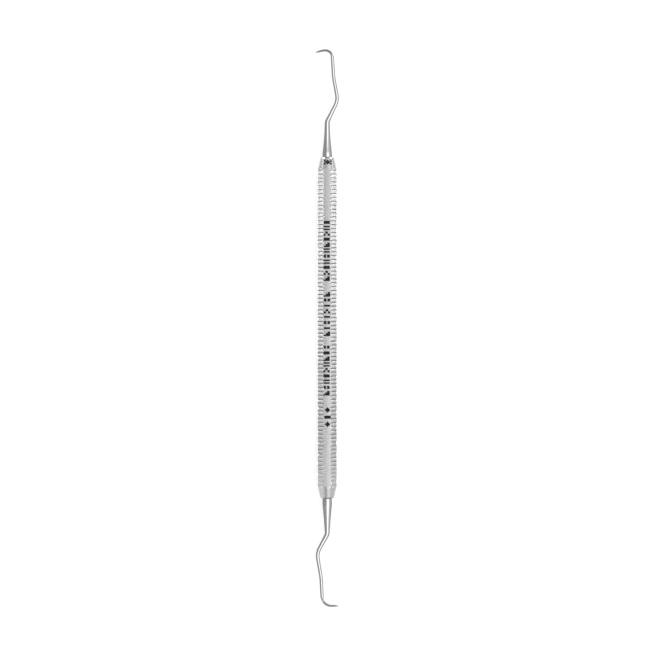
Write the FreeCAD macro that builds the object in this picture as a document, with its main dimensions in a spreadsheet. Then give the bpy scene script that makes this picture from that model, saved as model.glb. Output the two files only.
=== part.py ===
"""Double-ended hand scaler: an octagonal serrated handle with a bent sickle tip in each end.

Millimetres. The handle lies along Y with its lowest flat on z = 0, and the origin is on that flat,
under the middle of the handle. Each working end is modelled along its own +Y, from the end face of
the handle outwards, and is then placed in its bore.
"""
import FreeCAD, Part

import math
import os

import Sketcher
from FreeCAD import Placement, Rotation, Vector

SHARED_SIZES = {
    # Handle bar
    "handle_across_flats": 6.0,
    "handle_length": 108.1,
    "handle_edge_radius": 0.12,
    # Turned cone on each end of the bar
    "nose_half_angle": 13.5,
    "nose_end_diameter": 4.37,
    "nose_clearance_diameter": 7.2,
    "nose_edge_radius": 0.34,
    # Blind bore for the tang, with a countersink for the braze
    "bore_diameter": 3.0,
    "bore_depth": 12.0,
    "bore_point_angle": 118.0,
    "braze_seat_diameter": 3.5,
    "braze_seat_angle": 90.0,
    "braze_seat_depth": 0.25,
    # Straight V grooves across the four diagonal flats
    "serration_count": 82,
    "serration_pitch": 1.23,
    "serration_width": 0.54,
    "serration_depth": 0.18,
    "serration_cut_length": 4.0,
    "serrated_flats": 4,
    # Tang, the hidden part of each working end
    "tang_length": 11.5,
    "tang_lead_in": 0.3,
    "tang_ring_count": 3,
    "tang_ring_first": 3.0,
    "tang_ring_pitch": 2.5,
    "tang_ring_width": 0.6,
    "tang_ring_depth": 0.12,
    # Braze that shows above the mouth of the bore
    "braze_rise": 0.22,
    "braze_hollow_radius": 0.45,
}

# One set of sizes for each working end. A heading is the direction of a straight run, in degrees
# from the handle's axis, positive to the right. The two ends are a pair bent by hand, so they differ.
UPPER_SIZES = {
    "collar_length": 1.35,
    "taper_end": 10.65,
    "taper_hollow_radius": 84.0,
    "diameter_neck": 1.62,
    "diameter_elbow": 1.26,
    "diameter_middle": 1.1,
    "diameter_terminal": 1.05,
    "diameter_shoulder": 1.0,
    "shoulder_chamfer": 0.1,
    "run_neck": 0.2,
    "heading_neck": 0.0,
    "bend_neck": 2.5,
    "run_elbow": 5.14,
    "heading_elbow": 26.3,
    "bend_elbow": 5.5,
    "run_middle": 4.43,
    "heading_middle": -10.36,
    "bend_middle": 15.0,
    "run_terminal": 6.31,
    "heading_terminal": -3.9,
    "blade_start_x": 1.56,
    "blade_start_y": 31.2,
    "run_heel": 1.0,
    "heading_heel": -4.0,
    "bend_heel": 2.0,
    "run_face": 0.1,
    "heading_face": -88.0,
    "bend_face": 5.0,
    "run_toe": 1.65,
    "heading_toe": -106.0,
    "thickness_root": 0.7,
    "thickness_heel": 0.78,
    "thickness_bend": 0.78,
    "thickness_face": 0.72,
    "thickness_toe": 0.6,
    "thickness_tip": 0.3,
    "width_root": 0.62,
    "width_heel": 0.84,
    "width_bend": 0.92,
    "width_face": 0.94,
    "width_toe": 0.72,
    "width_tip": 0.12,
}

LOWER_SIZES = {
    "collar_length": 2.05,
    "taper_end": 10.55,
    "taper_hollow_radius": 202.0,
    "diameter_neck": 1.6,
    "diameter_elbow": 1.32,
    "diameter_middle": 1.14,
    "diameter_terminal": 1.07,
    "diameter_shoulder": 1.05,
    "shoulder_chamfer": 0.1,
    "run_neck": 0.2,
    "heading_neck": 0.0,
    "bend_neck": 2.7,
    "run_elbow": 4.302,
    "heading_elbow": 28.39,
    "bend_elbow": 5.5,
    "run_middle": 5.072,
    "heading_middle": -9.62,
    "bend_middle": 15.0,
    "run_terminal": 5.6,
    "heading_terminal": -3.0,
    "blade_start_x": 1.72,
    "blade_start_y": 30.52,
    "run_heel": 0.9,
    "heading_heel": -3.0,
    "bend_heel": 2.9,
    "run_face": 0.4,
    "heading_face": -87.0,
    "bend_face": 20.0,
    "run_toe": 1.64,
    "heading_toe": -89.0,
    "thickness_root": 0.56,
    "thickness_heel": 0.64,
    "thickness_bend": 0.76,
    "thickness_face": 0.72,
    "thickness_toe": 0.6,
    "thickness_tip": 0.26,
    "width_root": 0.62,
    "width_heel": 0.84,
    "width_bend": 0.92,
    "width_face": 0.94,
    "width_toe": 0.72,
    "width_tip": 0.12,
}

doc = FreeCAD.newDocument("HandScaler")


def write_sheet(groups):
    """Put every driving dimension in one sheet, named by its alias."""
    sheet = doc.addObject("Spreadsheet::Sheet", "Sizes")
    row = 1
    for prefix, sizes in groups:
        for name, number in sizes.items():
            sheet.set(f"A{row}", prefix + name)
            sheet.set(f"B{row}", str(number))
            sheet.setAlias(f"B{row}", prefix + name)
            row += 1
    doc.recompute()
    return sheet


sizes_sheet = write_sheet([("", SHARED_SIZES), ("upper_", UPPER_SIZES), ("lower_", LOWER_SIZES)])


def size(name):
    """Read one driving dimension back from the sheet."""
    return float(sizes_sheet.get(name))


def number_of(expression):
    """Work out an expression in the sheet's aliases."""
    return float(sizes_sheet.evalExpression(expression))


def bind(feature, target, expression):
    """Drive one property or named constraint from the sheet."""
    feature.setExpression(target, expression)


def origin_feature(body, role):
    """Find a plane or axis of the body's own origin."""
    return next(item for item in body.Origin.OriginFeatures if item.Role == role)


def new_body(label):
    """Start a sub-part. Its label is the name of its node and of its file."""
    body = doc.addObject("PartDesign::Body", label)
    body.Label = label
    return body


def new_sketch(body, name, role, offset=None):
    """Attach an empty sketch to a plane of the body's own origin."""
    sketch = body.newObject("Sketcher::SketchObject", f"{body.Label}_{name}")
    sketch.AttachmentSupport = [(origin_feature(body, role), "")]
    sketch.MapMode = "FlatFace"
    if offset is not None:
        sketch.AttachmentOffset = offset
    return sketch


def new_feature(body, kind, name):
    """Add a feature of the given kind to the body."""
    return body.newObject(f"PartDesign::{kind}", f"{body.Label}_{name}")


def name_constraint(sketch, constraint, name, expression):
    """Add a dimension to a sketch and drive it from the sheet."""
    index = sketch.addConstraint(constraint)
    sketch.renameConstraint(index, name)
    bind(sketch, f"Constraints.{name}", expression)


def arc_through(start, end, radius, side):
    """Arc of a given radius between two points, bowed to one side of its chord."""
    chord = end - start
    across = Vector(-chord.y, chord.x, 0).normalize() * side
    rise = radius - math.sqrt(radius ** 2 - chord.Length ** 2 / 4)
    return Part.Arc(start, (start + end) / 2 + across * rise, end)


def corner_ends(sketch, index, points):
    """Tell which end of a side is its start, since an arc is stored anticlockwise."""
    starts_here = sketch.getPoint(index, 1).distanceToPoint(points[index]) < 1e-6
    return (1, 2) if starts_here else (2, 1)


def draw_outline(sketch, corners, arcs=None):
    """Draw a closed outline and pin each corner to a pair of expressions.

    arcs maps the number of a side to its radius expression and the side it bows to.
    """
    arcs = arcs or {}
    points = [Vector(number_of(x), number_of(y), 0) for x, y in corners]
    count = len(points)
    for index, start in enumerate(points):
        end = points[(index + 1) % count]
        if index in arcs:
            radius, side = arcs[index]
            sketch.addGeometry(arc_through(start, end, number_of(radius), side), False)
        else:
            sketch.addGeometry(Part.LineSegment(start, end), False)
    ends = [corner_ends(sketch, index, points) for index in range(count)]
    for index in range(count):
        following = (index + 1) % count
        joint = Sketcher.Constraint("Coincident", index, ends[index][1], following, ends[following][0])
        sketch.addConstraint(joint)
    for index, (x, y) in enumerate(corners):
        across = Sketcher.Constraint("DistanceX", index, ends[index][0], points[index].x)
        name_constraint(sketch, across, f"corner_{index}_x", x)
        along = Sketcher.Constraint("DistanceY", index, ends[index][0], points[index].y)
        name_constraint(sketch, along, f"corner_{index}_y", y)
    for index, (radius, _) in arcs.items():
        bow = Sketcher.Constraint("Radius", index, number_of(radius))
        name_constraint(sketch, bow, f"side_{index}_radius", radius)


def draw_circle(sketch, diameter):
    """Draw a circle on the sketch's origin, its diameter driven by an expression."""
    radius = number_of(diameter) / 2
    sketch.addGeometry(Part.Circle(Vector(0, 0, 0), Vector(0, 0, 1), radius), False)
    sketch.addConstraint(Sketcher.Constraint("Coincident", 0, 3, -1, 1))
    name_constraint(sketch, Sketcher.Constraint("Diameter", 0, 2 * radius), "diameter", diameter)


class Route:
    """A wire bent in one plane: straight runs joined by tangent arcs."""

    def __init__(self, start, runs, bends):
        """runs are (length, heading) names in the sheet and bends are radius names."""
        self.start = start
        self.runs = runs
        self.bends = bends
        self.pieces = []
        here = Vector(number_of(start[0]), number_of(start[1]), 0)
        for index, (length, heading) in enumerate(runs):
            angle = size(heading)
            there = here + self.direction(angle) * size(length)
            self.pieces.append(("run", here, there, angle, angle))
            here = there
            if index < len(bends):
                next_angle = size(runs[index + 1][1])
                here = self.add_bend(here, size(bends[index]), angle, next_angle)

    @staticmethod
    def direction(heading):
        """Unit vector of a heading measured from +Y, positive towards +X."""
        angle = math.radians(heading)
        return Vector(math.sin(angle), math.cos(angle), 0)

    def add_bend(self, here, radius, angle, next_angle):
        """Add a tangent arc from one heading to the next and return its far end."""
        side = 1 if next_angle > angle else -1
        centre = here + self.direction(angle + 90 * side) * radius
        there = centre + self.direction(next_angle - 90 * side) * radius
        self.pieces.append(("bend", here, there, angle, next_angle, centre))
        return there

    def station(self, piece_index, fraction):
        """Point and heading at a fraction of one run or bend."""
        kind, here, there, angle, next_angle, *centre = self.pieces[piece_index]
        heading = angle + (next_angle - angle) * fraction
        if kind == "run":
            return here + (there - here) * fraction, heading
        side = 1 if next_angle > angle else -1
        radius = here.distanceToPoint(centre[0])
        return centre[0] + self.direction(heading - 90 * side) * radius, heading

    def draw(self, sketch):
        """Draw the route, held by its run lengths, headings, bend radii and start."""
        for kind, here, there, angle, next_angle, *centre in self.pieces:
            if kind == "run":
                sketch.addGeometry(Part.LineSegment(here, there), False)
            else:
                radius = here.distanceToPoint(centre[0])
                side = 1 if next_angle > angle else -1
                middle = centre[0] + self.direction((angle + next_angle) / 2 - 90 * side) * radius
                sketch.addGeometry(Part.Arc(here, middle, there), False)
        ends = [corner_ends(sketch, index, [piece[1] for piece in self.pieces])
                for index in range(len(self.pieces))]
        for index in range(len(self.pieces) - 1):
            touch = Sketcher.Constraint("Tangent", index, ends[index][1], index + 1, ends[index + 1][0])
            sketch.addConstraint(touch)
        start_x, start_y = self.start
        across = Sketcher.Constraint("DistanceX", 0, 1, number_of(start_x))
        name_constraint(sketch, across, "start_x", start_x)
        along = Sketcher.Constraint("DistanceY", 0, 1, number_of(start_y))
        name_constraint(sketch, along, "start_y", start_y)
        for index, (length, heading) in enumerate(self.runs):
            reach = Sketcher.Constraint("Distance", 2 * index, size(length))
            name_constraint(sketch, reach, f"run_{index}", f"Sizes.{length}")
            lean = Sketcher.Constraint("Angle", 2 * index, math.radians(90 - size(heading)))
            name_constraint(sketch, lean, f"lean_{index}", f"90 - Sizes.{heading}")
        for index, radius in enumerate(self.bends):
            bow = Sketcher.Constraint("Radius", 2 * index + 1, size(radius))
            name_constraint(sketch, bow, f"bend_{index}", f"Sizes.{radius}")

    def cross_section(self, body, name, piece_index, fraction):
        """Empty sketch square to the route, its x axis in the plane of the bends."""
        point, heading = self.station(piece_index, fraction)
        # The XZ plane faces -Y, so its own third axis runs against the route.
        offset = Placement(Vector(point.x, 0, -point.y), Rotation(Vector(0, 1, 0), -heading))
        return new_sketch(body, name, "XZ_Plane", offset)


def sweep(body, name, route, spine, sections):
    """Sweep a changing cross-section along a route."""
    pipe = new_feature(body, "AdditivePipe", name)
    pipe.Profile = (sections[0], [""])
    pipe.Spine = (spine, [f"Edge{index + 1}" for index in range(len(route.pieces))])
    pipe.Sections = [(section, [""]) for section in sections[1:]]
    pipe.Transformation = "Multisection"
    doc.recompute()
    return pipe


def revolve(body, kind, name, sketch):
    """Turn a sketch round the body's Y axis, as added or removed material."""
    turned = new_feature(body, kind, name)
    turned.Profile = (sketch, [""])
    turned.ReferenceAxis = (origin_feature(body, "Y_Axis"), [""])
    turned.Angle = 360
    doc.recompute()
    return turned


def mirror_to_other_end(body, name, feature):
    """Repeat a feature on the other side of the body's XZ plane."""
    mirrored = new_feature(body, "Mirrored", name)
    mirrored.Originals = [feature]
    mirrored.MirrorPlane = (origin_feature(body, "XZ_Plane"), [""])
    body.Tip = mirrored
    doc.recompute()
    return mirrored


def edge_names(shape, wanted):
    """Names of the edges that a test picks out."""
    return [f"Edge{index + 1}" for index, edge in enumerate(shape.Edges) if wanted(edge)]


def is_end_circle(edge, diameter, height):
    """Whether an edge is a circle of this diameter at this distance from the middle."""
    curve = edge.Curve
    if not isinstance(curve, Part.Circle):
        return False
    return abs(curve.Radius - diameter / 2) < 1e-3 and abs(abs(curve.Center.y) - height) < 1e-3


def make_handle():
    """Octagonal bar with turned noses, a bore in each end and four serrated flats."""
    body = new_body("handle")
    half_length = size("handle_length") / 2

    octagon = new_sketch(body, "octagon", "XZ_Plane")
    flat = "Sizes.handle_across_flats / 2"
    corner = "Sizes.handle_across_flats * tan(22.5 deg) / 2"
    draw_outline(octagon, [
        (flat, f"-({corner})"), (flat, corner), (corner, flat), (f"-({corner})", flat),
        (f"-({flat})", corner), (f"-({flat})", f"-({corner})"),
        (f"-({corner})", f"-({flat})"), (corner, f"-({flat})"),
    ])
    bar = new_feature(body, "Pad", "bar")
    bar.Profile = (octagon, [""])
    bar.Midplane = True
    bind(bar, "Length", "Sizes.handle_length")
    doc.recompute()

    long_edges = new_feature(body, "Fillet", "long_edges")
    long_edges.Base = (bar, edge_names(bar.Shape, lambda edge: edge.Length > half_length))
    bind(long_edges, "Radius", "Sizes.handle_edge_radius")
    doc.recompute()

    nose = new_sketch(body, "nose", "XY_Plane")
    inner = "Sizes.nose_end_diameter / 2"
    outer = "Sizes.nose_clearance_diameter / 2"
    end = "Sizes.handle_length / 2"
    cone = f"({outer} - {inner}) / tan(Sizes.nose_half_angle * 1 deg)"
    draw_outline(nose, [
        (inner, end), (outer, f"{end} - {cone}"), (outer, f"{end} + 1"), (inner, f"{end} + 1"),
    ])
    nose_cut = revolve(body, "Groove", "nose_cut", nose)
    noses = mirror_to_other_end(body, "noses", nose_cut)

    nose_diameter = size("nose_end_diameter")
    rims = edge_names(noses.Shape, lambda edge: is_end_circle(edge, nose_diameter, half_length))
    nose_edges = new_feature(body, "Fillet", "nose_edges")
    nose_edges.Base = (noses, rims)
    bind(nose_edges, "Radius", "Sizes.nose_edge_radius")
    doc.recompute()

    end_face = Placement(Vector(0, 0, half_length), Rotation())
    bore_centre = new_sketch(body, "bore_centre", "XZ_Plane", end_face)
    draw_circle(bore_centre, "Sizes.bore_diameter")
    doc.recompute()
    bore = new_feature(body, "Hole", "bore")
    bore.Profile = (bore_centre, [""])
    doc.recompute()
    bore.DepthType = "Dimension"
    bore.DrillPoint = "Angled"
    bore.HoleCutType = "Countersink"
    bind(bore, "Diameter", "Sizes.bore_diameter")
    bind(bore, "Depth", "Sizes.bore_depth")
    bind(bore, "DrillPointAngle", "Sizes.bore_point_angle")
    bind(bore, "HoleCutDiameter", "Sizes.braze_seat_diameter")
    bind(bore, "HoleCutCountersinkAngle", "Sizes.braze_seat_angle")
    doc.recompute()
    mirror_to_other_end(body, "bores", bore)

    # The groove's sketch stands square to one diagonal flat.
    diagonal = Placement(Vector(0, 0, 0), Rotation(Vector(1, 0, 0), 45))
    groove = new_sketch(body, "serration", "YZ_Plane", diagonal)
    first = "-Sizes.serration_pitch * (Sizes.serration_count - 1) / 2"
    mouth = "Sizes.serration_width * (0.5 + 0.05 / Sizes.serration_depth)"
    above = "Sizes.handle_across_flats / 2 + 0.1"
    bottom = "Sizes.handle_across_flats / 2 - Sizes.serration_depth"
    draw_outline(groove, [
        (f"{first} - {mouth}", above), (first, bottom), (f"{first} + {mouth}", above),
    ])
    doc.recompute()
    groove_cut = new_feature(body, "Pocket", "serration_cut")
    groove_cut.Profile = (groove, [""])
    groove_cut.Midplane = True
    bind(groove_cut, "Length", "Sizes.serration_cut_length")
    doc.recompute()

    along = doc.addObject("PartDesign::LinearPattern", "handle_serrations_along")
    along.Direction = (origin_feature(body, "Y_Axis"), [""])
    bind(along, "Length", "Sizes.serration_pitch * (Sizes.serration_count - 1)")
    bind(along, "Occurrences", "Sizes.serration_count")
    around = doc.addObject("PartDesign::PolarPattern", "handle_serrations_around")
    around.Axis = (origin_feature(body, "Y_Axis"), [""])
    around.Angle = 360
    bind(around, "Occurrences", "Sizes.serrated_flats")
    serrations = new_feature(body, "MultiTransform", "serrations")
    serrations.Originals = [groove_cut]
    serrations.Transformations = [along, around]
    body.Tip = serrations
    doc.recompute()

    body.Placement = Placement(Vector(0, 0, size("handle_across_flats") / 2), Rotation())
    return body


def make_tang_and_taper(body, prefix):
    """Turned part of a working end: tang, collar and hollow taper down to the neck."""
    turned = new_sketch(body, "turned_profile", "XY_Plane")
    radius = "Sizes.bore_diameter / 2"
    tang = "-Sizes.tang_length"
    neck = f"Sizes.{prefix}diameter_neck / 2"
    taper_end = f"Sizes.{prefix}taper_end"
    corners = [
        ("0", tang),
        (f"{radius} - Sizes.tang_lead_in", tang),
        (radius, f"{tang} + Sizes.tang_lead_in"),
        (radius, f"Sizes.{prefix}collar_length"),
        (neck, taper_end),
        ("0", taper_end),
    ]
    draw_outline(turned, corners, {3: (f"Sizes.{prefix}taper_hollow_radius", 1)})
    revolve(body, "Revolution", "turned", turned)

    ring = new_sketch(body, "tang_ring", "XY_Plane")
    floor = f"{radius} - Sizes.tang_ring_depth"
    outside = f"{radius} + 0.2"
    low = "-Sizes.tang_ring_first"
    high = f"{low} + Sizes.tang_ring_width"
    draw_outline(ring, [(floor, low), (outside, low), (outside, high), (floor, high)])
    ring_cut = revolve(body, "Groove", "tang_ring_cut", ring)
    rings = new_feature(body, "LinearPattern", "tang_rings")
    rings.Originals = [ring_cut]
    rings.Direction = (origin_feature(body, "Y_Axis"), [""])
    rings.Reversed = True
    bind(rings, "Length", "Sizes.tang_ring_pitch * (Sizes.tang_ring_count - 1)")
    bind(rings, "Occurrences", "Sizes.tang_ring_count")
    body.Tip = rings
    doc.recompute()


def make_shank(body, prefix):
    """Round tapered wire with three bends, from the neck to the grinding shoulder."""
    names = ["neck", "elbow", "middle", "terminal"]
    route = Route(
        ("0", f"Sizes.{prefix}taper_end"),
        [(f"{prefix}run_{name}", f"{prefix}heading_{name}") for name in names],
        [f"{prefix}bend_{name}" for name in names[:-1]],
    )
    spine = new_sketch(body, "shank_route", "XY_Plane")
    route.draw(spine)
    stations = [
        ("neck", 0, 0.0),
        ("elbow", 2, 0.5),
        ("middle", 4, 0.5),
        ("terminal", 6, 0.4),
        ("shoulder", 6, 1.0),
    ]
    sections = []
    for name, piece_index, fraction in stations:
        section = route.cross_section(body, f"shank_{name}", piece_index, fraction)
        draw_circle(section, f"Sizes.{prefix}diameter_{name}")
        sections.append(section)
    doc.recompute()
    shank = sweep(body, "shank", route, spine, sections)

    tip_point, _ = route.station(6, 1.0)
    rim = edge_names(shank.Shape, lambda edge: edge.CenterOfMass.distanceToPoint(tip_point) < 0.05)
    shoulder = new_feature(body, "Chamfer", "shoulder")
    shoulder.Base = (shank, rim)
    bind(shoulder, "Size", f"Sizes.{prefix}shoulder_chamfer")
    doc.recompute()


def make_blade(body, prefix):
    """Sickle blade: flat face on the inside of the hook, two flanks and a narrow back."""
    names = ["heel", "face", "toe"]
    route = Route(
        (f"Sizes.{prefix}blade_start_x", f"Sizes.{prefix}blade_start_y"),
        [(f"{prefix}run_{name}", f"{prefix}heading_{name}") for name in names],
        [f"{prefix}bend_{name}" for name in names[:-1]],
    )
    spine = new_sketch(body, "blade_route", "XY_Plane")
    route.draw(spine)
    stations = [
        ("root", 0, 0.0),
        ("heel", 0, 1.0),
        ("bend", 1, 0.5),
        ("face", 2, 0.0),
        ("toe", 4, 0.1),
        ("tip", 4, 1.0),
    ]
    sections = []
    for name, piece_index, fraction in stations:
        section = route.cross_section(body, f"blade_{name}", piece_index, fraction)
        inside = f"-Sizes.{prefix}thickness_{name} / 2"
        outside = f"Sizes.{prefix}thickness_{name} / 2"
        face = f"Sizes.{prefix}width_{name} / 2"
        back = f"Sizes.{prefix}width_{name} * 0.16"
        draw_outline(section, [(inside, f"-{face}"), (inside, face), (outside, back), (outside, f"-{back}")])
        sections.append(section)
    doc.recompute()
    sweep(body, "blade", route, spine, sections)


def make_working_end(label, prefix, placement):
    """One working end in its own frame, then placed in its bore."""
    body = new_body(label)
    make_tang_and_taper(body, prefix)
    make_shank(body, prefix)
    make_blade(body, prefix)
    body.Placement = placement
    return body


def make_bead(label, placement):
    """Ring of braze that fills the countersink and climbs a little up the collar."""
    body = new_body(label)
    profile = new_sketch(body, "profile", "XY_Plane")
    inner = "Sizes.bore_diameter / 2"
    outer = "Sizes.braze_seat_diameter / 2"
    corners = [(inner, "-Sizes.braze_seat_depth"), (outer, "0"), (inner, "Sizes.braze_rise")]
    draw_outline(profile, corners, {1: ("Sizes.braze_hollow_radius", 1)})
    revolve(body, "Revolution", "ring", profile)
    body.Placement = placement
    return body


def check_document(bodies):
    """Stop if any object failed to recompute or any sub-part is not one valid solid."""
    for item in doc.Objects:
        failed = [state for state in item.State if "Invalid" in state or "Error" in state]
        if failed:
            raise RuntimeError(f"{item.Label}: {failed}")
    for body in bodies:
        shape = body.Shape
        if shape.isNull() or not shape.isValid() or len(shape.Solids) != 1:
            raise RuntimeError(f"{body.Label}: not one valid solid")


axis_height = size("handle_across_flats") / 2
half_handle = size("handle_length") / 2
upper_placement = Placement(Vector(0, half_handle, axis_height), Rotation())
lower_placement = Placement(Vector(0, -half_handle, axis_height), Rotation(Vector(0, 0, 1), 180))

sub_parts = [
    make_handle(),
    make_working_end("upper_working_end", "upper_", upper_placement),
    make_working_end("lower_working_end", "lower_", lower_placement),
    make_bead("upper_joint_bead", upper_placement),
    make_bead("lower_joint_bead", lower_placement),
]
doc.recompute()
check_document(sub_parts)

os.makedirs("parts", exist_ok=True)
for sub_part in sub_parts:
    sub_part.Shape.exportStep(f"parts/{sub_part.Label}.step")
    box = sub_part.Shape.BoundBox
    print(f"{sub_part.Label}: {sub_part.Shape.Volume:.2f} mm3, x {box.XMin:.2f} to {box.XMax:.2f}, "
          f"y {box.YMin:.2f} to {box.YMax:.2f}, z {box.ZMin:.2f} to {box.ZMax:.2f}")
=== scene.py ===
import math
import random

import bmesh
import bpy
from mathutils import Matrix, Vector


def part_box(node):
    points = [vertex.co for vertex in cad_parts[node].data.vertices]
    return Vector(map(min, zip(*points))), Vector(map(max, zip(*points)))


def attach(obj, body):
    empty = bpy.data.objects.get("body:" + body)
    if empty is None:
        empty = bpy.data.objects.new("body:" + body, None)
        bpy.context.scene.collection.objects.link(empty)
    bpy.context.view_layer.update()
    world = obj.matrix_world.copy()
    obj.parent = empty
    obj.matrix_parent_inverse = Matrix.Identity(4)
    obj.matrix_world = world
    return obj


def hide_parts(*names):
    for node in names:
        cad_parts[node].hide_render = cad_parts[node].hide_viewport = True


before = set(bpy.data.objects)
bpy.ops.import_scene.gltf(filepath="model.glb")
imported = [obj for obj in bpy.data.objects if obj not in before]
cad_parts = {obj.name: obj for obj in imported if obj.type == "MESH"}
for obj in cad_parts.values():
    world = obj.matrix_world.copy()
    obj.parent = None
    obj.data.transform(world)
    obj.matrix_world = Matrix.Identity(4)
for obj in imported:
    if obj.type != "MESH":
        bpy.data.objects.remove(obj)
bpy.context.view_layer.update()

MM = 0.001
random.seed(8)

# The handle's own sizes, in millimetres, read from its CAD box.
handle_low, handle_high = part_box("handle")
HALF_LENGTH = (handle_high.y - handle_low.y) / 2 / MM
APOTHEM = (handle_high.z - handle_low.z) / 2 / MM
AXIS_HEIGHT = (handle_high.z + handle_low.z) / 2 / MM

SKIN_APOTHEM = APOTHEM - 0.004
EDGE_RADIUS = 0.12
PLAIN_CROWN = 0.05
SERRATED_CROWN = 0.015
FLAT_HALF_WIDTH = 1.24
HALF_CORNER = math.radians(22.5)
NOSE_HALF_ANGLE = math.radians(13.5)
NOSE_TAN = math.tan(NOSE_HALF_ANGLE)
NOSE_END_RADIUS = 2.185
NOSE_EDGE_RADIUS = 0.34
NOSE_BLEND = 0.03
NOSE_RINGS = 34
BORE_RADIUS = 1.5
BORE_DEPTH = 12.0
BORE_TIP = 12.9
BRAZE_SEAT_RADIUS = 1.75
BRAZE_SEAT_DEPTH = 0.25

GROOVE_COUNT = 82
GROOVE_PITCH = 1.23
# Half of one groove, as (distance from its middle, depth): a V with its lips and root eased.
GROOVE_PROFILE = [(0.03, 0.166), (0.235, 0.026), (0.27, 0.008), (0.305, 0.0)]
GROOVE_ROOT_DEPTH = 0.172
# A cut of this depth or more counts fully as groove in the steel's material, which makes it rougher
# and darkens its root with painted shade and polish residue.
GROOVE_MASK_DEPTH = 0.15
POINTS_PER_FLAT = 9


# ---------------------------------------------------------------- mesh helpers

def new_object(name, mesh):
    """Link a mesh to the scene under the given piece name."""
    piece = bpy.data.objects.new(name, mesh)
    bpy.context.scene.collection.objects.link(piece)
    return piece


def skin_rings(bm, rings, layers=None):
    """Join rings of equal length into a closed skin. A ring of one point is a pole.

    layers maps an attribute layer to one value, or a list of values, for each ring.
    """
    made = []
    for number, ring in enumerate(rings):
        row = [bm.verts.new(Vector(point) * MM) for point in ring]
        for layer, values in (layers or {}).items():
            value = values[number]
            for place, vert in enumerate(row):
                vert[layer] = value[place] if isinstance(value, list) else value
        made.append(row)
    for low, high in zip(made, made[1:]):
        count = max(len(low), len(high))
        for index in range(count):
            following = (index + 1) % count
            if len(low) == 1:
                corners = [low[0], high[following], high[index]]
            elif len(high) == 1:
                corners = [low[index], low[following], high[0]]
            else:
                corners = [low[index], low[following], high[following], high[index]]
            bm.faces.new(corners)


def finish_mesh(bm, name, crease_angle):
    """Close up a bmesh, shade it smooth and keep only its real creases sharp."""
    bmesh.ops.recalc_face_normals(bm, faces=bm.faces)
    for face in bm.faces:
        face.smooth = True
    for edge in bm.edges:
        if len(edge.link_faces) == 2 and edge.calc_face_angle(0.0) > math.radians(crease_angle):
            edge.smooth = False
    mesh = bpy.data.meshes.new(name)
    bm.to_mesh(mesh)
    bm.free()
    return mesh


def smooth_minimum(first, second, softness):
    """The smaller of two numbers, with the corner between them rounded off."""
    return (first + second - math.sqrt((first - second) ** 2 + softness ** 2)) / 2


# ---------------------------------------------------------------- handle

class Groove:
    """One cross-cut on one diagonal flat, with the small unevenness of a planed cut."""

    def __init__(self):
        self.shift = random.uniform(-0.02, 0.02)
        self.slant = random.uniform(-0.02, 0.02)
        self.strength = random.uniform(0.86, 1.0)


def nominal_depth(y):
    """Depth of the groove pattern at a distance along the handle."""
    index = round(y / GROOVE_PITCH + (GROOVE_COUNT - 1) / 2)
    if not 0 <= index < GROOVE_COUNT:
        return 0.0, None
    offset = abs(y - (index - (GROOVE_COUNT - 1) / 2) * GROOVE_PITCH)
    steps = [(0.0, GROOVE_ROOT_DEPTH)] + GROOVE_PROFILE
    for (near, deep), (far, shallow) in zip(steps, steps[1:]):
        if offset <= far:
            return deep + (shallow - deep) * (offset - near) / (far - near), index
    return 0.0, index


def handle_stations():
    """Distances along the handle at which its skin gets a ring."""
    stations = []
    for index in range(GROOVE_COUNT):
        middle = (index - (GROOVE_COUNT - 1) / 2) * GROOVE_PITCH
        for offset, _ in GROOVE_PROFILE:
            stations += [middle - offset, middle + offset]
    last = (GROOVE_COUNT - 1) / 2 * GROOVE_PITCH + GROOVE_PROFILE[-1][0]
    nose_end = HALF_LENGTH - NOSE_EDGE_RADIUS * (1 - math.sin(NOSE_HALF_ANGLE))
    for step in range(1, NOSE_RINGS + 1):
        y = last + (nose_end - last) * step / NOSE_RINGS
        stations += [y, -y]
    return sorted(stations)


def flat_crown(u, height):
    """How far a flat falls away at a distance from its middle: polishing rolls its edges off."""
    return height * (u / FLAT_HALF_WIDTH) ** 2


def octagon_section(y, grooves):
    """Points round the handle at one station, with each point's groove and edge masks."""
    depth, index = nominal_depth(y)
    depths = []
    for flat in range(8):
        cut = grooves[flat][index].strength * depth if flat % 2 and index is not None else 0.0
        depths.append(cut)
    points, groove_mask, edge_mask = [], [], []
    ease = EDGE_RADIUS * math.tan(HALF_CORNER)
    side = math.sqrt(0.5)
    for flat in range(8):
        angle = math.radians(45 * flat)
        normal = Vector((math.sin(angle), math.cos(angle)))
        along = Vector((math.cos(angle), -math.sin(angle)))
        here = SKIN_APOTHEM - depths[flat]
        before = SKIN_APOTHEM - depths[flat - 1]
        after = SKIN_APOTHEM - depths[(flat + 1) % 8]
        low = -(before - here * side) / side
        high = (after - here * side) / side
        cut = grooves[flat][index] if flat % 2 and index is not None else None
        for place in range(POINTS_PER_FLAT):
            share = place / (POINTS_PER_FLAT - 1)
            u = low + ease + (high - low - 2 * ease) * share
            crown = flat_crown(u, SERRATED_CROWN if flat % 2 else PLAIN_CROWN)
            point = normal * (here - crown) + along * u
            shift = cut.shift + cut.slant * u if cut else 0.0
            points.append((point.x, y + shift, point.y))
            groove_mask.append(min(1.0, depths[flat] / GROOVE_MASK_DEPTH))
            edge_mask.append(1.0 if place in (0, POINTS_PER_FLAT - 1) else 0.0)
        corner = normal * here + along * high
        corner *= 1 - EDGE_RADIUS * (1 / math.cos(HALF_CORNER) - 1) / corner.length
        points.append((corner.x, y, corner.y))
        groove_mask.append(0.0)
        edge_mask.append(1.0)
    return points, groove_mask, edge_mask


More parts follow.
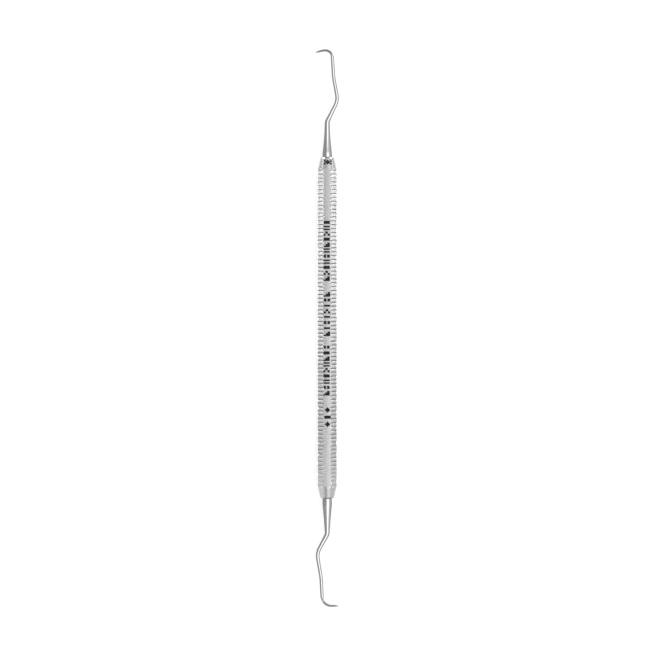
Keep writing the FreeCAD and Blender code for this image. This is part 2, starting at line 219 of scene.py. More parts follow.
def turn_nose(points, y):
    """Trim a section to the turned cone, softly at the flats, and mask what was turned."""
    limit = NOSE_END_RADIUS + (HALF_LENGTH - abs(y)) * NOSE_TAN
    trimmed, turned_mask = [], []
    for x, along, z in points:
        radius = math.hypot(x, z)
        factor = smooth_minimum(radius, limit, NOSE_BLEND) / radius
        trimmed.append((x * factor, along, z * factor))
        turned_mask.append(1.0 if limit < radius else 0.0)
    return trimmed, turned_mask


def nose_end_profile():
    """(radius, distance from the middle) from the rounded rim into the bore's drill point."""
    slope = NOSE_HALF_ANGLE
    rim_radius = NOSE_END_RADIUS + NOSE_EDGE_RADIUS * (math.sin(slope) - 1) / math.cos(slope)
    rim_height = HALF_LENGTH - NOSE_EDGE_RADIUS
    profile = []
    for step in range(1, 7):
        angle = slope + (math.pi / 2 - slope) * step / 6
        radius = rim_radius + NOSE_EDGE_RADIUS * math.cos(angle)
        profile.append((radius, rim_height + NOSE_EDGE_RADIUS * math.sin(angle)))
    profile.append((BRAZE_SEAT_RADIUS, HALF_LENGTH))
    profile.append((BORE_RADIUS, HALF_LENGTH - BRAZE_SEAT_DEPTH))
    profile.append((BORE_RADIUS, HALF_LENGTH - BORE_DEPTH))
    return profile


def lifted(points):
    """Move points from the handle's axis up to its height in the shared frame."""
    return [(x, y, z + AXIS_HEIGHT) for x, y, z in points]


def build_handle():
    """Octagonal bar with crowned flats, eased edges, four serrated flats and turned noses."""
    grooves = {flat: [Groove() for _ in range(GROOVE_COUNT)] for flat in (1, 3, 5, 7)}
    grooves.update({flat: None for flat in (0, 2, 4, 6)})
    rings, groove_masks, edge_masks, turned_masks = [], [], [], []
    for y in handle_stations():
        points, groove_mask, edge_mask = octagon_section(y, grooves)
        ring, turned_mask = turn_nose(points, y)
        rings.append(ring)
        groove_masks.append(groove_mask)
        edge_masks.append(edge_mask)
        turned_masks.append(turned_mask)
    angles = [math.atan2(x, z) for x, _, z in rings[0]]
    for sign in (1, -1):
        for radius, y in nose_end_profile():
            ring = [(radius * math.sin(a), sign * y, radius * math.cos(a)) for a in angles]
            place = len(rings) if sign > 0 else 0
            rings.insert(place, ring)
            groove_masks.insert(place, 0.0)
            edge_masks.insert(place, 0.0)
            turned_masks.insert(place, 1.0)
        place = len(rings) if sign > 0 else 0
        rings.insert(place, [(0.0, sign * (HALF_LENGTH - BORE_TIP), 0.0)])
        groove_masks.insert(place, 0.0)
        edge_masks.insert(place, 0.0)
        turned_masks.insert(place, 1.0)
    bm = bmesh.new()
    layers = {
        # The groove mask sets the groove's roughness and the painted shade at its root in the
        # steel's material.
        bm.verts.layers.float.new("groove"): groove_masks,
        bm.verts.layers.float.new("edge"): edge_masks,
        bm.verts.layers.float.new("turned"): turned_masks,
    }
    skin_rings(bm, [lifted(ring) for ring in rings], layers)
    return new_object("handle_bar", finish_mesh(bm, "handle_bar", crease_angle=38))


def handle_surface(x, y):
    """Height of the handle's upper surface above the ground, in millimetres."""
    flat = SKIN_APOTHEM - flat_crown(x, PLAIN_CROWN)
    limit = NOSE_END_RADIUS + (HALF_LENGTH - abs(y)) * NOSE_TAN
    radius = math.hypot(x, flat)
    turned = smooth_minimum(radius, limit, NOSE_BLEND)
    return AXIS_HEIGHT + math.sqrt(max(turned ** 2 - x ** 2, 0.0))


# ---------------------------------------------------------------- working ends

# Sizes of the two working ends, in millimetres from the end face of the handle. A run is
# (length, heading in degrees to the right of the handle's axis). A station is (distance, diameter).
UPPER = {
    "collar": 1.35,
    "taper_end": 10.65,
    "taper_hollow": 84.0,
    "neck": 1.62,
    "shank_runs": [(0.2, 0.0), (5.14, 26.3), (4.43, -10.36), (6.31, -3.9)],
    "shank_bends": [2.5, 5.5, 15.0],
    "shank_diameters": [1.62, 1.26, 1.1, 1.05, 1.0],
    "blade_start": (1.56, 31.2),
    "blade_runs": [(1.0, -4.0), (0.1, -88.0), (1.65, -106.0)],
    "blade_bends": [2.0, 5.0],
    "blade_thickness": [0.7, 0.78, 0.78, 0.72, 0.6, 0.3],
}
LOWER = {
    "collar": 2.05,
    "taper_end": 10.55,
    "taper_hollow": 202.0,
    "neck": 1.6,
    "shank_runs": [(0.2, 0.0), (4.302, 28.39), (5.072, -9.62), (5.6, -3.0)],
    "shank_bends": [2.7, 5.5, 15.0],
    "shank_diameters": [1.6, 1.32, 1.14, 1.07, 1.05],
    "blade_start": (1.72, 30.52),
    "blade_runs": [(0.9, -3.0), (0.4, -87.0), (1.64, -89.0)],
    "blade_bends": [2.9, 20.0],
    "blade_thickness": [0.56, 0.64, 0.76, 0.72, 0.6, 0.26],
}
# Width of both blades at the six stations, and half the back's width as a share of it.
BLADE_WIDTH = [0.62, 0.84, 0.92, 0.94, 0.72, 0.12]
BLADE_BACK = 0.16
# The skin keeps to this share of the blade's section, inside the CAD solid.
BLADE_SKIN_SHARE = 0.985
BLADE_RING_STEP = 0.09
BLADE_BEND_RING_STEP = 0.08
# The first ring is this far past the heel, and the last this far short of the tip.
BLADE_FIRST_RING = 0.04
BLADE_LAST_RING = 0.012
TIP_ROUNDING = 0.12
TIP_PULL_BACK = 0.006
# The ground shoulder: its first ring's share of the wire, and how soon the blade takes over.
SHOULDER_SHARE = 0.93
SHOULDER_RUN_OUT = 0.2
COLLAR_EASE = 0.12
TANG_LENGTH = 11.5
TANG_LEAD_IN = 0.3
TANG_END_RADIUS = 1.2
TANG_RINGS = [3.0, 5.5, 8.0]
TANG_RING_WIDTH = 0.6
TANG_RING_RADIUS = 1.38
COLUMNS = 64


class Route:
    """Straight runs joined by tangent arcs, sampled by distance along it."""

    def __init__(self, start, runs, bends):
        self.pieces = []
        self.length = 0.0
        here = Vector(start)
        for number, (length, heading) in enumerate(runs):
            here = self.add(here, length, heading, heading)
            if number < len(bends):
                turn = math.radians(abs(runs[number + 1][1] - heading))
                here = self.add(here, bends[number] * turn, heading, runs[number + 1][1])

    def add(self, here, length, heading, next_heading):
        """Add one run or arc and return the point where it ends."""
        self.pieces.append((self.length, length, here, heading, next_heading))
        self.length += length
        return self.place(self.length)[0]

    @staticmethod
    def direction(heading):
        """Unit vector of a heading, measured from +Y towards +X."""
        return Vector((math.sin(math.radians(heading)), math.cos(math.radians(heading))))

    def place(self, distance):
        """Point and heading at a distance along the route."""
        start, length, here, heading, next_heading = self.piece_at(distance)
        travelled = distance - start
        if heading == next_heading:
            return here + self.direction(heading) * travelled, heading
        turn = math.radians(next_heading - heading)
        radius = length / turn
        now = heading + (next_heading - heading) * travelled / length
        centre = here + self.direction(heading + 90) * radius
        return centre - self.direction(now + 90) * radius, now

    def piece_at(self, distance):
        """The run or arc that holds a distance."""
        for piece in self.pieces:
            if distance <= piece[0] + piece[1] + 1e-9:
                return piece
        return self.pieces[-1]

    def middle_of(self, number, share):
        """Distance at a share of one run or arc."""
        return self.pieces[number][0] + self.pieces[number][1] * share

    def samples(self, first, last, straight_step, bend_step):
        """Distances between two limits, closer together round the bends."""
        distances = [first]
        while distances[-1] < last - 1e-6:
            piece = self.piece_at(distances[-1] + 1e-6)
            step = straight_step if piece[3] == piece[4] else bend_step
            ahead = min(distances[-1] + step, last)
            distances.append(min(ahead, piece[0] + piece[1]))
        return distances


def blend_values(knots, distance):
    """Smooth monotone interpolation through (distance, value) knots."""
    if distance <= knots[0][0]:
        return knots[0][1]
    slopes = [(b[1] - a[1]) / (b[0] - a[0]) for a, b in zip(knots, knots[1:])]
    tangents = [slopes[0]]
    for before, after in zip(slopes, slopes[1:]):
        tangents.append(0.0 if before * after <= 0 else 2 * before * after / (before + after))
    tangents.append(slopes[-1])
    for number, ((x0, v0), (x1, v1)) in enumerate(zip(knots, knots[1:])):
        if distance <= x1:
            span = x1 - x0
            t = (distance - x0) / span
            leaving, arriving = tangents[number], tangents[number + 1]
            rise = v0 * (2 * t ** 3 - 3 * t ** 2 + 1) + v1 * (3 * t ** 2 - 2 * t ** 3)
            lean = leaving * (t ** 3 - 2 * t ** 2 + t) + arriving * (t ** 3 - t ** 2)
            return rise + lean * span
    return knots[-1][1]


def blade_radius(angle, thickness, width):
    """Distance from the blade's middle to its skin: flat face, two flanks and a narrow back."""
    drop = width * (0.5 - BLADE_BACK)
    edge = math.hypot(thickness, drop)
    flank = math.atan2(thickness, drop)
    flank_distance = thickness * (width / 2 - drop / 2) / edge
    planes = [
        (math.pi, thickness / 2),
        (0.0, thickness / 2),
        (flank, flank_distance),
        (-flank, flank_distance),
    ]
    power = 26
    total = 0.0
    for direction, distance in planes:
        reach = math.cos(angle - direction)
        if reach > 0:
            total += (reach / distance) ** power
    return total ** (-1 / power)


def cross_ring(point, heading, radii):
    """Ring square to the route. Its first point is on the outer side of the hook."""
    outward = Route.direction(heading + 90)
    ring = []
    for column, radius in enumerate(radii):
        angle = 2 * math.pi * column / COLUMNS
        side = outward * (radius * math.cos(angle))
        ring.append((point.x + side.x, point.y + side.y, radius * math.sin(angle)))
    return ring


def turned_profile(sizes):
    """(distance, radius) of the tang, the collar and the hollow taper."""
    profile = [(-TANG_LENGTH, TANG_END_RADIUS), (-TANG_LENGTH + TANG_LEAD_IN, BORE_RADIUS)]
    for depth in reversed(TANG_RINGS):
        low, high = -depth, -depth + TANG_RING_WIDTH
        profile += [(low, BORE_RADIUS), (low, TANG_RING_RADIUS)]
        profile += [(high, TANG_RING_RADIUS), (high, BORE_RADIUS)]
    profile += [(0.0, BORE_RADIUS), (sizes["collar"] - COLLAR_EASE, BORE_RADIUS)]
    start = Vector((BORE_RADIUS, sizes["collar"]))
    end = Vector((sizes["neck"] / 2, sizes["taper_end"]))
    chord = end - start
    hollow = sizes["taper_hollow"]
    sag = hollow - math.sqrt(hollow ** 2 - chord.length ** 2 / 4)
    steps = 30
    for step in range(1, steps):
        share = step / steps
        dip = sag * (1 - (2 * share - 1) ** 2)
        profile.append((start.y + chord.y * share, start.x + chord.x * share - dip))
    return profile


def build_working_end(name, sizes, direction):
    """Tang, taper, bent shank and ground blade as one closed skin."""
    rings = [[(0.0, -TANG_LENGTH, 0.0)]]
    ground = [0.0]
    turned = [1.0]
    for distance, radius in turned_profile(sizes):
        rings.append(cross_ring(Vector((0.0, distance)), 0.0, [radius] * COLUMNS))
        ground.append(0.0)
        turned.append(1.0)

    shank = Route((0.0, sizes["taper_end"]), sizes["shank_runs"], sizes["shank_bends"])
    places = [
        0.0, shank.middle_of(2, 0.5), shank.middle_of(4, 0.5), shank.middle_of(6, 0.4),
        shank.length,
    ]
    knots = list(zip(places, sizes["shank_diameters"]))
    for distance in shank.samples(0.0, shank.length, 0.3, 0.14):
        point, heading = shank.place(distance)
        radius = blend_values(knots, distance) / 2
        rings.append(cross_ring(point, heading, [radius] * COLUMNS))
        ground.append(0.0)
        turned.append(max(0.0, 1.0 - distance / 3.0))

    blade = Route(sizes["blade_start"], sizes["blade_runs"], sizes["blade_bends"])
    places = [
        0.0, blade.middle_of(0, 1.0), blade.middle_of(1, 0.5), blade.middle_of(2, 0.0),
        blade.middle_of(4, 0.1), blade.length,
    ]
    thickness_knots = list(zip(places, sizes["blade_thickness"]))
    width_knots = list(zip(places, BLADE_WIDTH))
    heel = sizes["blade_runs"][0][0]
    shoulder_radius = sizes["shank_diameters"][-1] / 2
    shoulder_point, _ = shank.place(shank.length)
    first, last = heel + BLADE_FIRST_RING, blade.length - BLADE_LAST_RING
    for distance in blade.samples(first, last, BLADE_RING_STEP, BLADE_BEND_RING_STEP):
        point, heading = blade.place(distance)
        thickness = blend_values(thickness_knots, distance)
        width = blend_values(width_knots, distance)
        morph = min(1.0, (distance - heel) / SHOULDER_RUN_OUT)
        morph = morph * morph * (3 - 2 * morph)
        shrink = 1.0
        left = (blade.length - distance) / TIP_ROUNDING
        if left < 1:
            shrink = math.sqrt(max(1 - (1 - left) ** 2, 0.02))
        radii = []
        for column in range(COLUMNS):
            angle = 2 * math.pi * column / COLUMNS
            radius = BLADE_SKIN_SHARE * blade_radius(angle, thickness, width) * shrink
            radii.append(shoulder_radius * SHOULDER_SHARE * (1 - morph) + radius * morph)
        centre = shoulder_point.lerp(point, 0.4 + 0.6 * morph) if morph < 1 else point
        rings.append(cross_ring(centre, heading, radii))
        ground.append(morph)
        turned.append(0.0)
    tip, heading = blade.place(blade.length)
    tip -= Route.direction(heading) * TIP_PULL_BACK
    rings.append([(tip.x, tip.y, 0.0)])
    ground.append(1.0)
    turned.append(0.0)

    placed = []
    for ring in rings:
        placed.append([
            (direction * x, direction * (y + HALF_LENGTH), z + AXIS_HEIGHT) for x, y, z in ring
        ])
    bm = bmesh.new()
    layers = {
        bm.verts.layers.float.new("ground"): ground,
        bm.verts.layers.float.new("turned"): turned,
    }
    skin_rings(bm, placed, layers)
    return new_object(name, finish_mesh(bm, name, crease_angle=40))


# Section of a braze ring, as (radius, distance out of the bore).
BEAD_PROFILE = [(1.5, -0.25), (1.75, 0.0), (1.68, 0.035), (1.6, 0.09), (1.54, 0.15), (1.5, 0.22)]


def build_bead(name, direction):
    """Braze ring in the mouth of the bore, with the uneven hollow edge that flowed metal has."""
    phase = random.uniform(0, 6)
    rings = []
    for number, (radius, rise) in enumerate(BEAD_PROFILE):
        ring = []
        for column in range(COLUMNS):
            angle = 2 * math.pi * column / COLUMNS
            flow = 0.86 + 0.08 * math.sin(3 * angle + phase) + 0.05 * math.sin(5 * angle - phase)
            y = rise * flow if number > 1 else rise
            x, z = radius * math.cos(angle), radius * math.sin(angle)
            ring.append((x, direction * (HALF_LENGTH + y), z))
        rings.append(ring)
    bm = bmesh.new()
    made = []
    for ring in rings:
        made.append([bm.verts.new(Vector((x, y, z + AXIS_HEIGHT)) * MM) for x, y, z in ring])
    made.append(made[0])
    for low, high in zip(made, made[1:]):
        for index in range(COLUMNS):
            following = (index + 1) % COLUMNS
            bm.faces.new([low[index], low[following], high[following], high[index]])
    return new_object(name, finish_mesh(bm, name, crease_angle=40))


# ---------------------------------------------------------------- etched marks

# How far a mark's pad stands above the steel, and how far it goes into it.
MARK_RISE = 0.003
MARK_SINK = 0.02


def add_stroke(bm, x, y, across, along, turn=0.0):
    """Lay one etched patch on the handle: a thin closed pad that follows the surface."""
    columns, rows = 6, 4
    top, bottom = [], []
    cosine, sine = math.cos(math.radians(turn)), math.sin(math.radians(turn))
    for row in range(rows + 1):
        for column in range(columns + 1):
            u = across * (column / columns - 0.5)
            v = along * (row / rows - 0.5)
            px = x + u * cosine - v * sine
            py = y + u * sine + v * cosine
            height = handle_surface(px, py)
            top.append(bm.verts.new(Vector((px, py, height + MARK_RISE)) * MM))
            bottom.append(bm.verts.new(Vector((px, py, height - MARK_SINK)) * MM))
    width = columns + 1
    for row in range(rows):
        for column in range(columns):
            a = row * width + column
            quad = [a, a + 1, a + width + 1, a + width]
            bm.faces.new([top[i] for i in quad])
            bm.faces.new([bottom[i] for i in reversed(quad)])
    rim = list(range(width))
    rim += [row * width + columns for row in range(1, rows + 1)]
    rim += [rows * width + column for column in range(columns - 1, -1, -1)]
    rim += [row * width for row in range(rows - 1, 0, -1)]
    for here, following in zip(rim, rim[1:] + rim[:1]):
        bm.faces.new([bottom[here], bottom[following], top[following], top[here]])


# Each cell of the index code, as patches (across, along, size across, size along, turn).
CODE_CELLS = {
    "bar": [(0.0, 0.0, 2.06, 0.62, 0)],
    "pair": [(0.0, -0.44, 2.06, 0.52, 0), (0.0, 0.44, 2.06, 0.52, 0)],
    "thick": [(0.0, 0.0, 2.06, 1.0, 0)],
    "steps": [(0.6, -0.5, 0.8, 0.5, 0), (0.32, 0.0, 1.4, 0.5, 0), (0.0, 0.5, 2.06, 0.5, 0)],
    "squares": [(-0.58, 0.0, 0.86, 1.0, 0), (0.58, 0.0, 0.86, 1.0, 0)],
    "checker": [
        (-0.68, 0.36, 0.76, 0.72, 0), (0.68, 0.36, 0.76, 0.72, 0), (0.0, -0.36, 0.8, 0.72, 0),
    ],
    "diamond": [(0.0, 0.0, 1.3, 1.3, 45)],
}
# Blocks of the code: distance of the first cell along the handle, pitch, offset across, cells.
CODE_BLOCKS = [
    (33.4, 1.78, -0.2, [
        "thick", "pair", "checker", "thick", "steps", "pair", "squares", "pair", "thick", "checker",
        "steps",
    ]),
    (10.6, 1.78, -0.08, ["steps", "squares", "bar", "checker", "bar", "squares", "bar", "steps"]),
    (-6.1, 1.82, -0.24, [
        "squares", "thick", "steps", "pair", "checker", "thick", "pair", "squares", "steps",
    ]),
    (-26.0, 2.25, 0.1, ["diamond", "thick", "diamond"]),
]
# A small device on the nose, a diamond between two pairs of squares, about its own middle.
NOSE_MARK = [
    (0.0, 0.0, 1.2, 1.2, 45),
    (-0.98, 0.46, 0.62, 0.66, 0), (-0.98, -0.46, 0.62, 0.66, 0),
    (0.98, 0.46, 0.62, 0.66, 0), (0.98, -0.46, 0.62, 0.66, 0),
]
NOSE_MARK_MIDDLE = (0.15, 52.5)


def build_marks():
    """Generic index code etched on the upper flat, and a small mark on the nose."""
    bm = bmesh.new()
    for first, pitch, offset, cells in CODE_BLOCKS:
        for number, cell in enumerate(cells):
            for x, y, across, along, turn in CODE_CELLS[cell]:
                add_stroke(bm, offset + x, first - number * pitch - y, across, along, turn)
    for x, y, across, along, turn in NOSE_MARK:
        add_stroke(bm, NOSE_MARK_MIDDLE[0] + x, NOSE_MARK_MIDDLE[1] + y, across, along, turn)
    return new_object("etched_index_marks", finish_mesh(bm, "etched_index_marks", crease_angle=30))


# ---------------------------------------------------------------- materials

class Nodes:
    """Small helper to build one node material."""

    def __init__(self, name):
        self.material = bpy.data.materials.new(name)
        self.material.use_nodes = True
        self.tree = self.material.node_tree
        self.shader = self.tree.nodes["Principled BSDF"]

    def add(self, kind, **settings):
        """Add a node and set its properties."""
        node = self.tree.nodes.new(kind)
        for key, value in settings.items():
            setattr(node, key, value)
        return node

    def link(self, source, target):
        """Join an output to an input."""
        self.tree.links.new(source, target)

    def coordinates(self, scale):
        """Object coordinates, stretched by a scale on each axis."""
        texture = self.add("ShaderNodeTexCoord")
        mapping = self.add("ShaderNodeMapping")
        mapping.inputs["Scale"].default_value = scale
        self.link(texture.outputs["Object"], mapping.inputs["Vector"])
        return mapping.outputs["Vector"]

    def noise(self, scale, stretch=(1, 1, 1), detail=3.0, roughness=0.55):
        """Noise between 0 and 1 at the given scale per metre."""
        node = self.add("ShaderNodeTexNoise")
        node.inputs["Scale"].default_value = scale
        node.inputs["Detail"].default_value = detail
        node.inputs["Roughness"].default_value = roughness
        self.link(self.coordinates(stretch), node.inputs["Vector"])
        return node.outputs["Fac"]

    def attribute(self, name):
        """A mask stored on the mesh."""
        return self.add("ShaderNodeAttribute", attribute_name=name).outputs["Fac"]

    def remap(self, value, low, high, to_low, to_high):
        """Stretch a value from one range to another, clamped."""
        node = self.add("ShaderNodeMapRange")
        node.inputs["From Min"].default_value = low
        node.inputs["From Max"].default_value = high
        node.inputs["To Min"].default_value = to_low
        node.inputs["To Max"].default_value = to_high
        self.link(value, node.inputs["Value"])
        return node.outputs["Result"]

    def math(self, operation, first, second):
        """Combine two values."""
        node = self.add("ShaderNodeMath", operation=operation)
        for socket, value in zip(node.inputs, (first, second)):
            if isinstance(value, (int, float)):
                socket.default_value = value
            else:
                self.link(value, socket)
        return node.outputs["Value"]

    def grey(self, value):
        """Turn a value into a neutral colour."""
        node = self.add("ShaderNodeCombineColor")
        for socket in ("Red", "Green", "Blue"):
            self.link(value, node.inputs[socket])
        return node.outputs["Color"]

    def bump(self, height, distance, strength, below=None):
        """Bump from a height, optionally on top of another bump."""
        node = self.add("ShaderNodeBump")
        node.inputs["Distance"].default_value = distance
        node.inputs["Strength"].default_value = strength
        self.link(height, node.inputs["Height"])
        if below is not None:
            self.link(below, node.inputs["Normal"])
        return node.outputs["Normal"]


def handle_steel():
    """Satin bar stock: drawn streaks, blasted mottle, grooves darkened at the root by painted shade
    and polish residue, and finer turned noses.
    """
    n = Nodes("satin_bar_steel")
    streaks = n.noise(9000, (1, 0.02, 1), 4)
    mottle = n.noise(2600, (1, 1, 1), 5, 0.6)
    handling = n.noise(140, (1, 0.5, 1), 2)
    groove = n.attribute("groove")
    turned = n.attribute("turned")
    lathe = n.noise(6000, (0.02, 1.5, 0.02), 3)
    edge = n.math("MULTIPLY", n.attribute("edge"), n.remap(turned, 0.0, 1.0, 1.0, 0.0))
    tone = n.remap(mottle, 0.3, 0.7, 0.4, 0.52)
    tone = n.math("ADD", tone, n.remap(streaks, 0.35, 0.65, -0.012, 0.012))
    # Painted shade, with some polish residue: the base colour is darkened to half at the groove
    # roots, where shade falls into the cut.
    root = n.math("POWER", groove, 3.0)
    tone = n.math("MULTIPLY", tone, n.remap(root, 0.0, 1.0, 1.0, 0.5))
    tone = n.math("ADD", tone, n.remap(edge, 0.0, 1.0, 0.0, 0.05))
    n.link(n.grey(tone), n.shader.inputs["Base Color"])
    rough = n.remap(mottle, 0.3, 0.7, 0.3, 0.36)
    rough = n.math("ADD", rough, n.remap(handling, 0.35, 0.65, -0.03, 0.03))
    rough = n.math("ADD", rough, n.remap(groove, 0.0, 1.0, 0.0, 0.1))
    rough = n.math("SUBTRACT", rough, n.remap(edge, 0.0, 1.0, 0.0, 0.08))
    rough = n.math("SUBTRACT", rough, n.remap(turned, 0.0, 1.0, 0.0, 0.11))
    n.link(rough, n.shader.inputs["Roughness"])
    normal = n.bump(mottle, 0.000006, 0.5)
    normal = n.bump(n.math("MULTIPLY", lathe, turned), 0.000004, 0.4, normal)
    normal = n.bump(streaks, 0.000003, 0.5, normal)
    n.link(normal, n.shader.inputs["Normal"])
    n.shader.inputs["Metallic"].default_value = 1.0
    return n.material


def tip_steel():
    """Polished wire: lathe rings on the taper, draw lines on the shank, grinding on the blade."""
    n = Nodes("polished_tip_steel")
    lathe = n.noise(5000, (0.02, 1.6, 0.02), 3)
    draw = n.noise(7000, (1, 0.06, 1), 3)
    stone = n.noise(16000, (1, 1, 0.04), 3)
    patches = n.noise(420, (1, 0.4, 1), 3)
    turned = n.attribute("turned")
    ground = n.attribute("ground")
    tone = n.remap(patches, 0.3, 0.7, 0.6, 0.66)
    tone = n.math("SUBTRACT", tone, n.remap(ground, 0.0, 1.0, 0.0, 0.08))
    n.link(n.grey(tone), n.shader.inputs["Base Color"])
    rough = n.remap(patches, 0.3, 0.7, 0.13, 0.2)
    rough = n.math("ADD", rough, n.remap(ground, 0.0, 1.0, 0.0, 0.1))
    rough = n.math("ADD", rough, n.remap(turned, 0.0, 1.0, 0.0, 0.03))
    n.link(rough, n.shader.inputs["Roughness"])
    normal = n.bump(n.math("MULTIPLY", lathe, turned), 0.000004, 0.4)
    normal = n.bump(draw, 0.0000015, 0.4, normal)
    normal = n.bump(n.math("MULTIPLY", stone, ground), 0.000004, 0.5, normal)
    n.link(normal, n.shader.inputs["Normal"])
    n.shader.inputs["Metallic"].default_value = 1.0
    return n.material


def silver_braze():
    """Flowed silver braze: bright, softly rippled, with duller flux stains."""
    n = Nodes("silver_braze")
    ripple = n.noise(2200, (1, 1, 1), 2)
    stain = n.noise(5200, (1, 1, 1), 4)
    n.link(n.grey(n.remap(stain, 0.35, 0.7, 0.82, 0.66)), n.shader.inputs["Base Color"])
    n.link(n.remap(stain, 0.35, 0.7, 0.16, 0.34), n.shader.inputs["Roughness"])
    n.link(n.bump(ripple, 0.00002, 0.5), n.shader.inputs["Normal"])
    n.shader.inputs["Metallic"].default_value = 1.0
    return n.material


def etched_black():
    """Dark oxide of a laser mark: matt, with scan lines and thin spots."""
    n = Nodes("etched_oxide")
    scan = n.noise(11000, (1, 0.1, 1), 3)
    thin = n.noise(3800, (1, 1, 1), 4)
    n.link(n.grey(n.remap(thin, 0.4, 0.75, 0.008, 0.035)), n.shader.inputs["Base Color"])
    n.link(n.remap(thin, 0.3, 0.7, 0.55, 0.75), n.shader.inputs["Roughness"])
    n.link(n.bump(scan, 0.000003, 0.6), n.shader.inputs["Normal"])
    n.shader.inputs["Metallic"].default_value = 0.0
    n.shader.inputs["Specular IOR Level"].default_value = 0.12
    return n.material


def paint(piece, material):
    """Give a piece its one material."""
    piece.data.materials.clear()
    piece.data.materials.append(material)


# ---------------------------------------------------------------- camera, floor and light

# The camera's place above the middle of the tool, in metres.
CAMERA_ACROSS = 0.00024
CAMERA_ALONG = -0.00003
CAMERA_HEIGHT = 0.8679
FLOOR_GLOW = 0.7


def build_camera():
    """Look straight down at the middle of the tool, its long axis upright in the picture."""
    data = bpy.data.cameras.new("camera")
    data.lens = 150
    data.sensor_width = 36
    data.clip_start = 0.01
    camera = bpy.data.objects.new("camera", data)
    camera.location = (CAMERA_ACROSS, CAMERA_ALONG, AXIS_HEIGHT * MM + CAMERA_HEIGHT)
    bpy.context.scene.collection.objects.link(camera)
    bpy.context.scene.camera = camera


def build_floor():
    """Plain pale table. The camera sees it brighter than the metal does, as a cut-out white."""
    bm = bmesh.new()
    bmesh.ops.create_grid(bm, x_segments=1, y_segments=1, size=3.0)
    mesh = bpy.data.meshes.new("floor")
    bm.to_mesh(mesh)
    bm.free()
    floor = new_object("floor", mesh)
    n = Nodes("pale_floor")
    n.shader.inputs["Base Color"].default_value = (0.6, 0.6, 0.6, 1)
    n.shader.inputs["Roughness"].default_value = 0.9
    n.shader.inputs["Emission Color"].default_value = (1, 1, 1, 1)
    path = n.add("ShaderNodeLightPath")
    glow = n.math("MULTIPLY", path.outputs["Is Camera Ray"], FLOOR_GLOW)
    n.link(glow, n.shader.inputs["Emission Strength"])
    paint(floor, n.material)
    return floor


def add_card(name, location, size, turn, radiance, only=None, spread=180):
    """Rectangular soft box. only lists the pieces that it lights, if it doesn't light all."""
    data = bpy.data.lights.new(name, "AREA")
    data.shape = "RECTANGLE"
    data.size, data.size_y = size
    data.spread = math.radians(spread)
    data.energy = radiance * math.pi * size[0] * size[1]
    light = bpy.data.objects.new(name, data)
    light.location = location
    light.rotation_euler = turn
    light.visible_camera = False
    bpy.context.scene.collection.objects.link(light)
    if only:
        receivers = bpy.data.collections.new(name)
        for piece in only:
            receivers.objects.link(piece)
        light.light_linking.receiver_collection = receivers


def add_ceiling_card(name, low, high, height, radiance, only=None):
    """Overhead soft box that faces down, from its low to its high (x, y) corner."""
    location = ((low[0] + high[0]) / 2, (low[1] + high[1]) / 2, height)
    add_card(name, location, (high[0] - low[0], high[1] - low[1]), (0, 0, 0), radiance, only)


def add_floor_card(name, low, high, height, radiance, only=None):
    """Reflector card just above the table that faces up, from its low to its high (x, y) corner."""
    location = ((low[0] + high[0]) / 2, (low[1] + high[1]) / 2, height)
    add_card(name, location, (high[0] - low[0], high[1] - low[1]), (math.pi, 0, 0), radiance, only)


def add_side_card(name, x, low, high, radiance, only=None, spread=60):
    """Upright card beside the tool that faces it, from its low to its high (y, z) corner."""
    location = (x, (low[0] + high[0]) / 2, (low[1] + high[1]) / 2)
    turn = (0, math.copysign(math.pi / 2, x), 0)
    add_card(name, location, (high[1] - low[1], high[0] - low[0]), turn, radiance, only, spread)


def add_facing_card(name, location, size, radiance, only=None):
    """Soft box at any place that faces the tool."""
    turn = (-Vector(location)).to_track_quat("-Z", "Y").to_euler()
    add_card(name, location, size, turn, radiance, only)


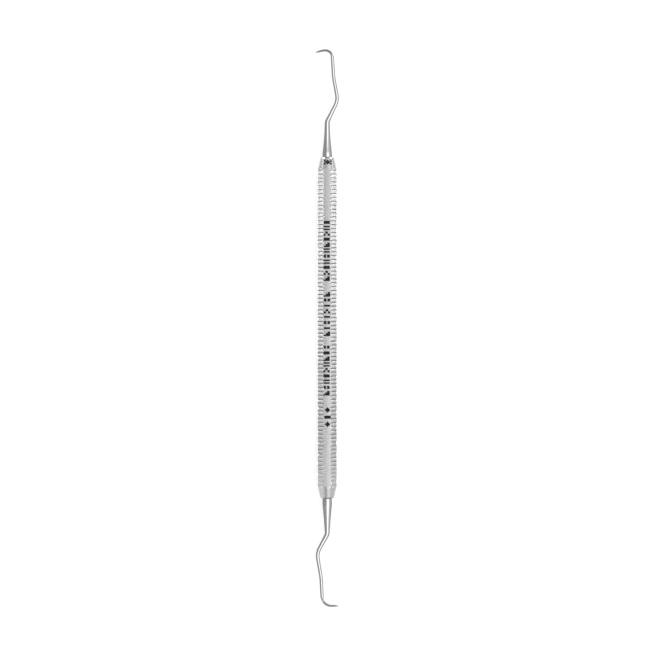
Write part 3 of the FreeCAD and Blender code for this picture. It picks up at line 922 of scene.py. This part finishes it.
def build_light(bar, ends, floor):
    """Soft boxes and cards for the bar, the polished ends and the floor, in a dim grey room."""
    world = bpy.data.worlds.new("studio")
    world.use_nodes = True
    world.node_tree.nodes["Background"].inputs["Color"].default_value = (0.4, 0.4, 0.4, 1)
    world.node_tree.nodes["Background"].inputs["Strength"].default_value = 1.0
    bpy.context.scene.world = world
    add_ceiling_card("overhead", (-0.16, -1.0), (1.2, 0.4), 1.1, 0.8, ends)
    add_ceiling_card("floor_wash", (-0.16, -1.0), (1.2, 1.0), 1.12, 0.8, [floor])
    add_ceiling_card("ends_key", (-0.3, -1.0), (0.8, 0.4), 1.08, 0.7, ends)
    add_ceiling_card("ends_south_west", (-1.05, -0.8), (-0.6, -0.45), 1.09, 1.2, ends)
    add_ceiling_card("bar_key", (0.02, -1.0), (1.2, 1.0), 1.1, 1.0, bar)
    add_ceiling_card("bar_lower_key", (0.0, -0.6), (0.6, -0.05), 1.09, 0.9, bar)
    add_ceiling_card("bar_left_fill", (-1.1, -1.0), (0.02, 1.0), 1.1, 0.35, bar)
    add_facing_card("right_fill", (1.6, 0.0, 0.6), (1.2, 1.2), 0.35)
    add_facing_card("north_west", (-0.6, 0.72, 0.12), (0.55, 0.24), 20.0, bar)
    add_facing_card("north_east", (0.6, 0.72, 0.12), (0.55, 0.24), 20.0, bar)
    for end, west, east in ((1, 0.35, 0.4), (-1, 0.7, 0.5)):
        near, far = sorted((0.051 * end, 0.07 * end))
        add_side_card("nose_west", -0.02, (near, 0.0), (far, 0.03), west, bar, 180)
        add_side_card("nose_east", 0.02, (near, 0.0), (far, 0.03), east, bar, 180)
        near, far = sorted((0.0495 * end, 0.06 * end))
        add_floor_card("nose_floor", (-0.014, near), (0.014, far), 0.0004, 0.9, bar)
    add_side_card("left_card", -0.15, (0.0, 0.0), (0.07, 0.12), 0.34, bar)
    add_side_card("left_low_card", -0.15, (-0.15, 0.0), (0.0, 0.12), 0.145, bar)
    add_side_card("right_card", 0.15, (0.0, 0.0), (0.07, 0.12), 0.3, bar)
    add_side_card("right_low_card", 0.15, (-0.15, 0.0), (0.0, 0.12), 0.115, bar)
    bpy.context.scene.view_settings.view_transform = "Standard"


# ---------------------------------------------------------------- assembly

build_camera()
floor = build_floor()

satin = handle_steel()
polished = tip_steel()
braze = silver_braze()
oxide = etched_black()

handle_bar = build_handle()
upper_end = build_working_end("upper_tip", UPPER, 1)
lower_end = build_working_end("lower_tip", LOWER, -1)
upper_bead = build_bead("upper_braze_ring", 1)
lower_bead = build_bead("lower_braze_ring", -1)
marks = build_marks()
build_light([handle_bar, marks], [upper_end, lower_end, upper_bead, lower_bead], floor)

for piece, material, node, slot in [
    (handle_bar, satin, "handle", "handle_steel"),
    (upper_end, polished, "upper_working_end", "tip_steel"),
    (lower_end, polished, "lower_working_end", "tip_steel"),
    (upper_bead, braze, "upper_joint_bead", "silver_braze"),
    (lower_bead, braze, "lower_joint_bead", "silver_braze"),
]:
    paint(piece, material)
    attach(piece, "root")
    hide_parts(node)
paint(marks, oxide)
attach(marks, "root")
